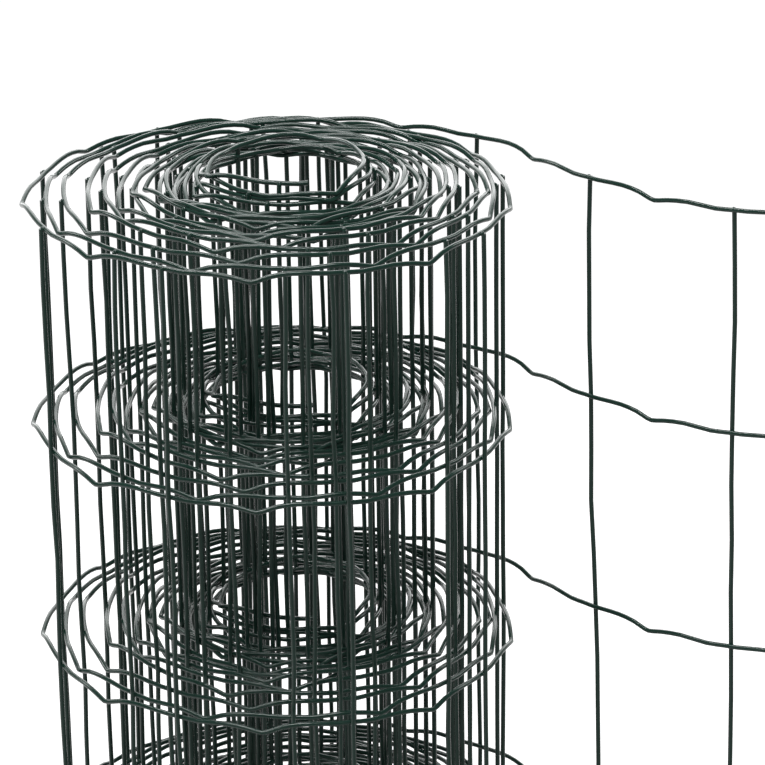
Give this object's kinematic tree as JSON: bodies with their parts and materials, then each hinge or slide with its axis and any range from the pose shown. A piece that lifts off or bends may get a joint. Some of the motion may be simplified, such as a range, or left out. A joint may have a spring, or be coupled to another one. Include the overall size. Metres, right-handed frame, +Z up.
{
  "type": "roll of wire fencing",
  "caption": "Upright roll of dark green plastic-coated welded wire fencing, loosely wound round an open eye, with its outer end pulled free as a curved sheet of crimped mesh.",
  "frame": {"origin": "on the floor, on the axis of the outermost turn", "axes": "+Z up along the roll, +X towards the free end of the sheet, +Y towards the back, where the free end leaves the roll"},
  "size_m": [0.4673, 0.2158, 0.9328],
  "materials": {
    "coated_wire": "glossy dark green plastic coat over steel wire"
  },
  "bodies": {
    "root": {"wound_roll": "coated_wire", "free_end": "coated_wire"}
  },
  "joints": []
}
